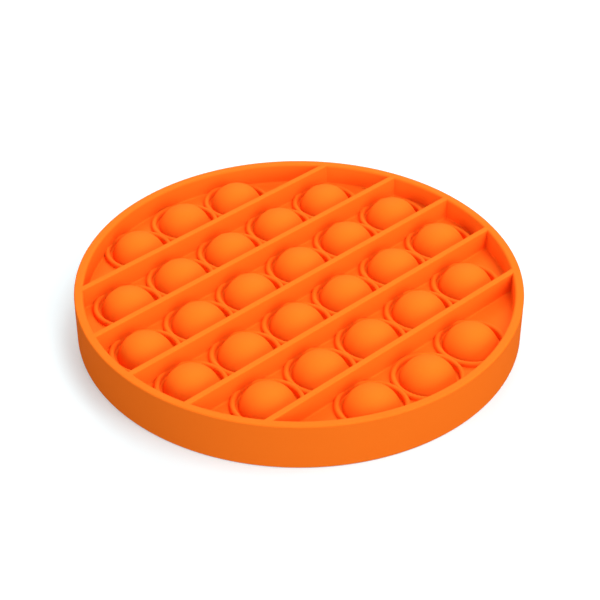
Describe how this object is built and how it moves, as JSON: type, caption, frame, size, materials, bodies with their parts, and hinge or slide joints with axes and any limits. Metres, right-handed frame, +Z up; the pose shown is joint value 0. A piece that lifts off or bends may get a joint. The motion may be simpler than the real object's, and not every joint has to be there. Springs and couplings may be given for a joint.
{
  "type": "round bubble popping fidget toy",
  "caption": "Flat round tray of soft orange silicone, divided by parallel ribs into rows of thin ringed domes that pop through to the other side.",
  "frame": {"origin": "centre of the round footprint, on the plane that the rim's lower edge rests on", "axes": "+Z up, the way the domes point; +X along the ribs and rows of bubbles"},
  "size_m": [0.125, 0.125, 0.014],
  "materials": {
    "silicone": "matte"
  },
  "bodies": {
    "root": {"bubble_toy": "silicone"}
  },
  "joints": []
}
